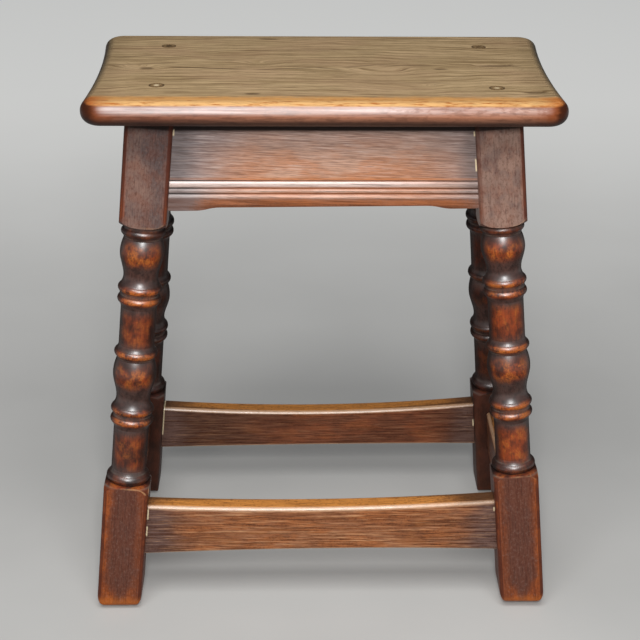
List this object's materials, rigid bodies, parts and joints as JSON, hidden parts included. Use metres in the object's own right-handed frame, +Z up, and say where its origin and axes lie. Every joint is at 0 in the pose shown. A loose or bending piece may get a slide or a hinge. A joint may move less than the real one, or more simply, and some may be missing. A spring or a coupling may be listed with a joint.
{
  "type": "joint stool",
  "caption": "Small oak joint stool with a rounded board seat, splayed turned legs, moulded aprons and low box stretchers.",
  "frame": {"origin": "on the floor, under the middle of the seat (centre of the footprint)", "axes": "+Z up, +X along the seat, +Y from the front apron towards the back apron"},
  "size_m": [0.4068, 0.2346, 0.473],
  "materials": {
    "seat_oak": "waxed oak, faded olive tan, honey at the worn edge",
    "frame_oak": "dark stained and waxed oak, worn to orange on edges and rings",
    "peg_oak": "waxed oak, end grain",
    "glide_plastic": "pale plastic, scuffed",
    "nail_steel": "plain steel"
  },
  "bodies": {
    "root": {"seat_board": "seat_oak", "leg_front_left": "frame_oak", "leg_front_right": "frame_oak", "leg_back_left": "frame_oak", "leg_back_right": "frame_oak", "apron_front": "frame_oak", "apron_back": "frame_oak", "apron_left": "frame_oak", "apron_right": "frame_oak", "stretcher_front": "frame_oak", "stretcher_back": "frame_oak", "stretcher_left": "frame_oak", "stretcher_right": "frame_oak", "seat_peg_front_left": "peg_oak", "seat_peg_front_right": "peg_oak", "seat_peg_back_left": "peg_oak", "seat_peg_back_right": "peg_oak", "glide_front_left": "glide_plastic", "glide_front_right": "glide_plastic", "glide_back_left": "glide_plastic", "glide_back_right": "glide_plastic", "glide_nail_front_left": "nail_steel", "glide_nail_front_right": "nail_steel", "glide_nail_back_left": "nail_steel", "glide_nail_back_right": "nail_steel"}
  },
  "joints": []
}
